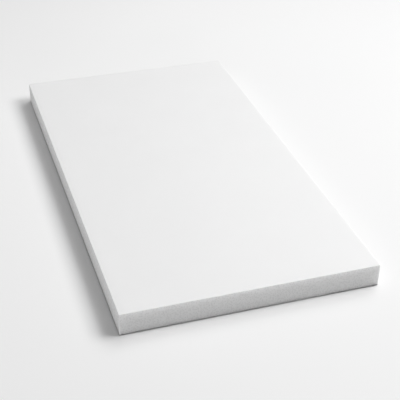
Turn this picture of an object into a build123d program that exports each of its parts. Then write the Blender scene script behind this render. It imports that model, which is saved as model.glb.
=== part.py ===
from build123d import *
import os

# Polypropylene foam board: one plain plank, squared on all sides, lying flat.
# Width runs along X, length along Y and thickness along Z, in millimetres.
# The origin is at the middle of the underside.

# Driving dimensions
board_length = 400.0  # long side
board_width = 210.0  # short side
board_thickness = 20.0  # stock thickness of the plank
edge_radius = 0.6  # softening of every long edge, where cut foam rounds over
corner_extra_radius = 0.2  # upright corners are rounder than the edges by this much

# The upright corners follow the edges, so the edge rounding always fits round them.
corner_radius = edge_radius + corner_extra_radius


def board_outline():
    """Plan of the board: a rectangle with its four corners rounded."""
    return RectangleRounded(board_width, board_length, corner_radius)


def foam_board():
    """The plank, risen from its outline, with the rim of both faces rounded over."""
    plank = extrude(board_outline(), board_thickness)
    top_face = plank.faces().sort_by(Axis.Z)[-1]
    underside = plank.faces().sort_by(Axis.Z)[0]
    return fillet(top_face.edges() + underside.edges(), edge_radius)


os.makedirs("parts", exist_ok=True)
export_step(foam_board(), "parts/foam_board.step")
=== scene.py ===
import math

import bmesh
import bpy
from mathutils import Matrix, Vector, noise


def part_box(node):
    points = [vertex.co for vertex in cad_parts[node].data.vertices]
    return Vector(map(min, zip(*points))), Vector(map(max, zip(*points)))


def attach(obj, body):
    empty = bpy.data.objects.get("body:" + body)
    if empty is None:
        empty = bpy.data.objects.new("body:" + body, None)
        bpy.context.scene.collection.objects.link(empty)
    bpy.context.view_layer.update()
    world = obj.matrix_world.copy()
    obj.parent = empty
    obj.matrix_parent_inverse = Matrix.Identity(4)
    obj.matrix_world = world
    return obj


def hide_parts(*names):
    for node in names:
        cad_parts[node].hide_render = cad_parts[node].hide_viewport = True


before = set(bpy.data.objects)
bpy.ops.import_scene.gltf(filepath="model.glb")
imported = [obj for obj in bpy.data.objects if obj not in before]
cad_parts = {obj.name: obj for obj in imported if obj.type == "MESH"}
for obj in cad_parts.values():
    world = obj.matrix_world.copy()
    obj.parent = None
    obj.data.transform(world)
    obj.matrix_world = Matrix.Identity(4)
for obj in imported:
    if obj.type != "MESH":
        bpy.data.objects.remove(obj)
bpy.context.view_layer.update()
mm = 0.001  # the frame is in metres


def hexColour(code):  # sRGB hex to the linear colour that a socket holds
    channels = [int(code[i:i + 2], 16) / 255 for i in (1, 3, 5)]
    linear = [c / 12.92 if c <= 0.04045 else ((c + 0.055) / 1.055) ** 2.4 for c in channels]
    return (*linear, 1.0)


def addNode(tree, kind, settings={}, values={}, links={}):
    node = tree.nodes.new("ShaderNode" + kind)
    for name, value in settings.items():
        setattr(node, name, value)
    for socket, value in values.items():
        node.inputs[socket].default_value = value
    for socket, source in links.items():
        tree.links.new(source, node.inputs[socket])
    return node


def blendTones(tree, factor, low, high):  # each end is a hex code or another node's output
    ends = {6: low, 7: high}  # a colour Mix has its two colours at these sockets, and its result at 2
    values = {socket: hexColour(end) for socket, end in ends.items() if isinstance(end, str)}
    links = {socket: end for socket, end in ends.items() if not isinstance(end, str)}
    return addNode(tree, "Mix", {"data_type": "RGBA"}, values, {0: factor, **links}).outputs[2]


def newMaterial(name):
    material = bpy.data.materials.new(name)
    material.use_nodes = True
    material.node_tree.nodes.clear()
    return material, material.node_tree


def closeSurface(tree, values, links):
    surface = addNode(tree, "BsdfPrincipled", values=values, links=links)
    addNode(tree, "OutputMaterial", links={"Surface": surface.outputs["BSDF"]})


def addObject(name, data):
    thing = bpy.data.objects.new(name, data)
    bpy.context.scene.collection.objects.link(thing)
    return thing


# Light goes some way into closed-cell foam and spreads there before it comes out again
foamScatter = {"Subsurface Weight": 1.0, "Subsurface Radius": (1.0, 1.0, 1.0)}


def closeFoam(tree, finish, tone, height):
    relief = addNode(tree, "Bump", values={"Distance": finish["cellRelief"], "Strength": 1.0},
                     links={"Height": height})
    closeSurface(tree,
                 {"Roughness": finish["roughness"], "IOR": finish["ior"],
                  "Specular IOR Level": finish["gloss"],
                  "Subsurface Scale": finish["scatterDepth"], **foamScatter},
                 {"Base Color": tone, "Normal": relief.outputs["Normal"]})


# Pressed skin of the two large faces: polypropylene foam is closed-celled and milky white,
# and the rollers leave it matt and even, with cells that barely print through.
pressedSkin = {
    "colour": "#F1F1F1",
    "shade": "#EEEEEE",  # slow mottling of the sheet
    "scatterDepth": 0.3 * mm,  # the skin is dense, so light turns back near the surface
    "mottleSize": 45 * mm,
    "mottleDetail": 3.0,
    "cellSize": 1.6 * mm,  # such cells are near 0.5 mm, drawn three times larger so that they show
    "cellBlend": 0.6,  # how softly one cell runs into the next
    "cellRelief": 0.012 * mm,
    "roughness": 0.7,
    "ior": 1.49,  # polypropylene
    "gloss": 0.15,  # under the usual 0.5, because the pressed cells break the gloss up
}

# Rounded rims: the skin with a painted highlight, a little whiter than the skin,
# so that the edges show as light lines.
paintedHighlightRim = {**pressedSkin, "colour": "#FCFCFC", "shade": "#FAFAFA"}


def makeSkin(name, finish):
    material, tree = newMaterial(name)
    place = addNode(tree, "TexCoord").outputs["Object"]
    mottle = addNode(tree, "TexNoise",
                     values={"Scale": 1 / finish["mottleSize"], "Detail": finish["mottleDetail"]},
                     links={"Vector": place})
    tone = blendTones(tree, mottle.outputs["Fac"], finish["shade"], finish["colour"])
    cells = addNode(tree, "TexVoronoi", {"feature": "SMOOTH_F1"},
                    {"Scale": 1 / finish["cellSize"], "Smoothness": finish["cellBlend"]},
                    {"Vector": place})
    closeFoam(tree, finish, tone, cells.outputs["Distance"])
    return material


# Knife-cut sides: the blade opens the cells, so the cut is rougher and a shade greyer than the skin,
# with a fine pitted grain.
cutSide = {
    "wall": "#F4F4F4",  # cell walls catch the light
    "pit": "#E7E7E7",  # opened cells hold a little shade
    "pitEnds": 0.15,  # from a cell's middle, in cells
    "wallStarts": 0.6,
    "scatterDepth": 8 * mm,  # opened cells let light deep in, so a side glows a little under a lit edge
    "cellSize": 1.4 * mm,  # near three times such cells, which are too fine to show
    "cellBlend": 0.4,
    "cellRelief": 0.03 * mm,
    "roughness": 0.8,
    "ior": 1.49,
    "gloss": 0.1,  # the cut has next to no gloss
}


def makeCutSide():
    material, tree = newMaterial("cutFoamSide")
    place = addNode(tree, "TexCoord").outputs["Object"]
    cells = addNode(tree, "TexVoronoi", {"feature": "SMOOTH_F1"},
                    {"Scale": 1 / cutSide["cellSize"], "Smoothness": cutSide["cellBlend"]},
                    {"Vector": place})
    rise = addNode(tree, "MapRange",
                   values={"From Min": cutSide["pitEnds"], "From Max": cutSide["wallStarts"]},
                   links={"Value": cells.outputs["Distance"]}).outputs["Result"]
    closeFoam(tree, cutSide, blendTones(tree, rise, cutSide["pit"], cutSide["wall"]), rise)
    return material


# The board itself
foamBoard = {
    "node": "foam_board",
    "edgeRadius": 0.6 * mm,  # rim of both faces, rounded over as cut foam is
    "cornerRadius": 0.8 * mm,  # the four uprights
    "roundSteps": 5,  # facets across each rounding
    "squareOn": 0.95,  # how squarely a facet looks out to belong to a face or a side and not to a rim
    "flatOn": 0.999,  # how squarely a flat face looks up or down, and how truly an edge runs along an axis
    "longShare": 0.5,  # an edge longer than this share of the board runs its whole length
    "sideStep": 0.7 * mm,  # mesh of the cut sides, about two points across a cell
    "faceColumns": 6,  # the flat faces are smoother, with a square to every six columns
    "cutReach": 0.01 * mm,  # points this near to a cut lie on it
    "footLift": 0.7 * mm,  # the lower rim stands off the floor, which leaves a dark line along the foot
    "rimReach": 1.01,  # in edge radii, up from the underside, to take in the whole lower rim
    "underLook": -0.5,  # what looks farther down than this is underside, and stays flat
    "cellSize": 1.4 * mm,  # opened cells on the cut sides
    "pitDepth": 0.08 * mm,
    "waveSize": 70 * mm,  # slow unevenness left by the rollers
    "waveDepth": 0.1 * mm,
}


def runsAlong(edge, axis):
    run = edge.verts[1].co - edge.verts[0].co
    return abs(run[axis]) > foamBoard["flatOn"] * run.length


def faceParts(faces):
    return [*{v for f in faces for v in f.verts}, *{e for f in faces for e in f.edges}, *faces]


def roundOver(bm, edges, radius):
    bmesh.ops.bevel(bm, geom=edges, offset=radius, offset_type="OFFSET", affect="EDGES",
                    segments=foamBoard["roundSteps"], profile=0.5, material=-1)


def makeFoamBoard():
    low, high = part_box(foamBoard["node"])
    size, centre = high - low, (low + high) / 2
    flatRun = size - 2 * foamBoard["cornerRadius"] * Vector((1, 1, 1))
    columns = foamBoard["faceColumns"]
    squares = [max(1, round(run / (columns * foamBoard["sideStep"]))) for run in flatRun]
    bm = bmesh.new()
    bmesh.ops.create_cube(bm, size=1.0)
    bmesh.ops.scale(bm, vec=size, verts=bm.verts)
    bmesh.ops.translate(bm, vec=centre, verts=bm.verts)

    # uprights first, then the rims of both faces, which run round the corners
    roundOver(bm, [e for e in bm.edges if runsAlong(e, 2)], foamBoard["cornerRadius"])
    roundOver(bm, [e for e in bm.edges if not runsAlong(e, 2)], foamBoard["edgeRadius"])

    # the cut sides get a fine mesh for their cells, with the flat faces off
    flats = [f for f in bm.faces if abs(f.normal.z) > foamBoard["flatOn"]]
    bmesh.ops.delete(bm, geom=flats, context="FACES_ONLY")
    for axis in range(3):
        longEnough = foamBoard["longShare"] * size[axis]
        longRuns = [e for e in bm.edges if runsAlong(e, axis) and e.calc_length() > longEnough]
        bmesh.ops.subdivide_edges(bm, edges=longRuns, cuts=columns * squares[axis] - 1, use_grid_fill=True)

    # then the flat faces close it, in larger squares
    rimLoops = [e for e in bm.edges if e.is_boundary]
    flats = bmesh.ops.edgeloop_fill(bm, edges=rimLoops)["faces"]
    for axis in (1, 0):
        along = Vector((0, 0, 0))
        along[axis] = 1
        for i in range(1, squares[axis]):
            place = centre + along * flatRun[axis] * (i / squares[axis] - 0.5)
            cut = bmesh.ops.bisect_plane(bm, geom=faceParts(flats), dist=foamBoard["cutReach"],
                                         plane_co=place, plane_no=along)
            flats = [g for g in cut["geom"] if isinstance(g, bmesh.types.BMFace)]
    bmesh.ops.recalc_face_normals(bm, faces=bm.faces)
    return bm


def finishOf(normal):  # 0 on the two large faces, 1 on the flat of a cut side, 2 on the rounded rims
    if abs(normal.z) > foamBoard["squareOn"]:
        return 0
    return 1 if max(abs(normal.x), abs(normal.y)) > foamBoard["squareOn"] else 2


def roughenFoam(bm):  # sinks the surface a little, so nothing stands proud of the board's own size
    bm.normal_update()
    lowRim = min(v.co.z for v in bm.verts) + foamBoard["rimReach"] * foamBoard["edgeRadius"]
    moves = []
    for v in bm.verts:
        wave = 0.5 + 0.5 * noise.noise(v.co / foamBoard["waveSize"])  # from 0 to 1
        depth = wave * foamBoard["waveDepth"] if v.normal.z > foamBoard["underLook"] else 0
        if all(finishOf(f.normal) == 1 for f in v.link_faces):
            toCell = noise.voronoi(v.co / foamBoard["cellSize"])[0][0]  # 0 at a cell's middle
            depth += foamBoard["pitDepth"] * max(0, 1 - toCell)
        move = v.normal * -depth
        if v.co.z < lowRim and not all(f.normal.z < -foamBoard["flatOn"] for f in v.link_faces):
            move.z += max(0, foamBoard["footLift"] - v.co.z)
        moves.append(move)
    for v, move in zip(bm.verts, moves):
        v.co += move


def dressFoamBoard():
    bm = makeFoamBoard()
    for f in bm.faces:
        f.smooth = True
        f.material_index = finishOf(f.normal)
    roughenFoam(bm)
    mesh = bpy.data.meshes.new("foamBoard")
    bm.to_mesh(mesh)
    print("foam board:", len(bm.verts), "points,", sum(len(f.verts) - 2 for f in bm.faces), "triangles")
    bm.free()
    # in the order that finishOf counts them
    mesh.materials.append(makeSkin("pressedFoamSkin", pressedSkin))
    mesh.materials.append(makeCutSide())
    # the rims' material carries a painted highlight: a whiter tone on every rounded rim
    mesh.materials.append(makeSkin("foamRimPaintedHighlight", paintedHighlightRim))
    board = addObject("foamBoard", mesh)
    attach(board, "root")
    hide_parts(foamBoard["node"])


dressFoamBoard()
print("board dressed")

# Floor: plain pale paper, wide enough to fill the view, with painted light and shade: its tone is darker in
# front and to the right and paler behind the board and to the left, following how the light falls
paleFloor = {
    "paintedShadeTone": "#F0F0F0",  # painted shade, as the camera sees it, in front and to the right
    "paintedLightTone": "#FCFCFC",  # painted light, behind and to the left
    "fadeAlong": (-0.7, 0.71, 0.0),
    "fadeFrom": -0.28,  # metres from the board's middle
    "fadeTo": 0.22,
    "bounce": "#909090",  # as it lights the board from below
    "halfWidth": 1.25,
    "roughness": 0.9,
    "gloss": 0.1,  # uncoated paper has hardly any
}


def seenRays(tree):  # 1 for what the eye meets directly or in a gloss, 0 for what only lights the board
    path = addNode(tree, "LightPath").outputs
    seen = path["Is Camera Ray"]
    for kind in ("Is Glossy Ray", "Is Transmission Ray"):
        seen = addNode(tree, "Math", {"operation": "MAXIMUM"}, links={0: seen, 1: path[kind]}).outputs[0]
    return seen


def makePaper():
    material, tree = newMaterial("palePaper")
    place = addNode(tree, "TexCoord").outputs["Object"]
    # painted light and shade: the tone the eye sees fades from darker in front and to the right to paler
    # behind and to the left
    along = addNode(tree, "VectorMath", {"operation": "DOT_PRODUCT"},
                    {1: paleFloor["fadeAlong"]}, {0: place})
    fade = addNode(tree, "MapRange",
                   values={"From Min": paleFloor["fadeFrom"], "From Max": paleFloor["fadeTo"]},
                   links={"Value": along.outputs["Value"]})
    seen = blendTones(tree, fade.outputs["Result"], paleFloor["paintedShadeTone"], paleFloor["paintedLightTone"])
    tone = blendTones(tree, seenRays(tree), paleFloor["bounce"], seen)
    closeSurface(tree, {"Roughness": paleFloor["roughness"], "Specular IOR Level": paleFloor["gloss"]},
                 {"Base Color": tone})
    return material


def makeFloor():
    bm = bmesh.new()
    bmesh.ops.create_grid(bm, x_segments=1, y_segments=1, size=paleFloor["halfWidth"])
    mesh = bpy.data.meshes.new("floor")
    bm.to_mesh(mesh)
    bm.free()
    mesh.materials.append(makePaper())
    addObject("floor", mesh)


makeFloor()
print("floor laid")

# Camera, from a perspective fit to the board's edges in the photo
viewpoint = {
    "azimuth": -17.87,  # degrees, to the left of straight along +Y
    "elevation": 32.45,
    "roll": 0.52,
    "distance": 0.9161,  # metres, as are the slides and the clip
    "slideRight": 0.0196,
    "slideUp": -0.0188,
    "lens": 88.97,  # mm, on a 36 mm sensor
    "clipStart": 0.01,
}


def placeCamera():
    azimuth, elevation, roll = (math.radians(viewpoint[k]) for k in ("azimuth", "elevation", "roll"))
    back = Vector((math.sin(azimuth) * math.cos(elevation), -math.cos(azimuth) * math.cos(elevation),
                   math.sin(elevation)))
    right = Vector((math.cos(azimuth), math.sin(azimuth), 0))
    up = back.cross(right)
    right, up = (right * math.cos(roll) + up * math.sin(roll), up * math.cos(roll) - right * math.sin(roll))
    data = bpy.data.cameras.new("camera")
    data.lens = viewpoint["lens"]
    data.clip_start = viewpoint["clipStart"]
    camera = addObject("camera", data)
    turn = Matrix((right, up, back)).transposed().to_4x4()
    place = back * viewpoint["distance"] + right * viewpoint["slideRight"] + up * viewpoint["slideUp"]
    camera.matrix_world = Matrix.Translation(place) @ turn
    bpy.context.scene.camera = camera


placeCamera()
print("camera placed")

# Studio light: a softbox to the right, a larger one farther off behind, two low strips for the sides
# and an even room. Azimuth runs from straight behind the board round to the right, in degrees;
# distances and sizes are in metres, and power is in watts.
softboxes = {
    "keyBox": {"azimuth": 108, "elevation": 52, "distance": 1.5, "size": (0.8, 0.7), "power": 14.0},
    "backBox": {"azimuth": 48, "elevation": 52, "distance": 6.2, "size": (3.9, 3.7), "power": 143.0},
    "leftStrip": {"azimuth": 270, "elevation": 4, "distance": 3.0, "size": (1.8, 0.4), "power": 23.2},
    "frontStrip": {"azimuth": 185, "elevation": 6, "distance": 3.0, "size": (1.6, 0.5), "power": 16.6},
}
room = {
    "light": "#7B7B7B",  # what reaches the board from all round
    "backdrop": "#F2F2F2",  # what the eye sees past the floor
}


def addSoftbox(name, box):
    azimuth, elevation = math.radians(box["azimuth"]), math.radians(box["elevation"])
    towards = Vector((math.sin(azimuth) * math.cos(elevation), math.cos(azimuth) * math.cos(elevation),
                      math.sin(elevation)))
    data = bpy.data.lights.new(name, "AREA")
    data.shape = "RECTANGLE"
    data.size, data.size_y = box["size"]
    data.energy = box["power"]
    lamp = addObject(name, data)
    lamp.location = towards * box["distance"]
    lamp.rotation_mode = "QUATERNION"
    lamp.rotation_quaternion = towards.to_track_quat("Z", "Y")
    lamp.visible_camera = False


def lightRoom():
    world = bpy.data.worlds.new("room")
    bpy.context.scene.world = world
    world.use_nodes = True
    tree = world.node_tree
    tree.nodes.clear()
    tone = blendTones(tree, seenRays(tree), room["light"], room["backdrop"])
    glow = addNode(tree, "Background", links={"Color": tone})
    addNode(tree, "OutputWorld", links={"Surface": glow.outputs["Background"]})


for name, box in softboxes.items():
    addSoftbox(name, box)
lightRoom()
bpy.context.scene.view_settings.view_transform = "Standard"
print("lights set")
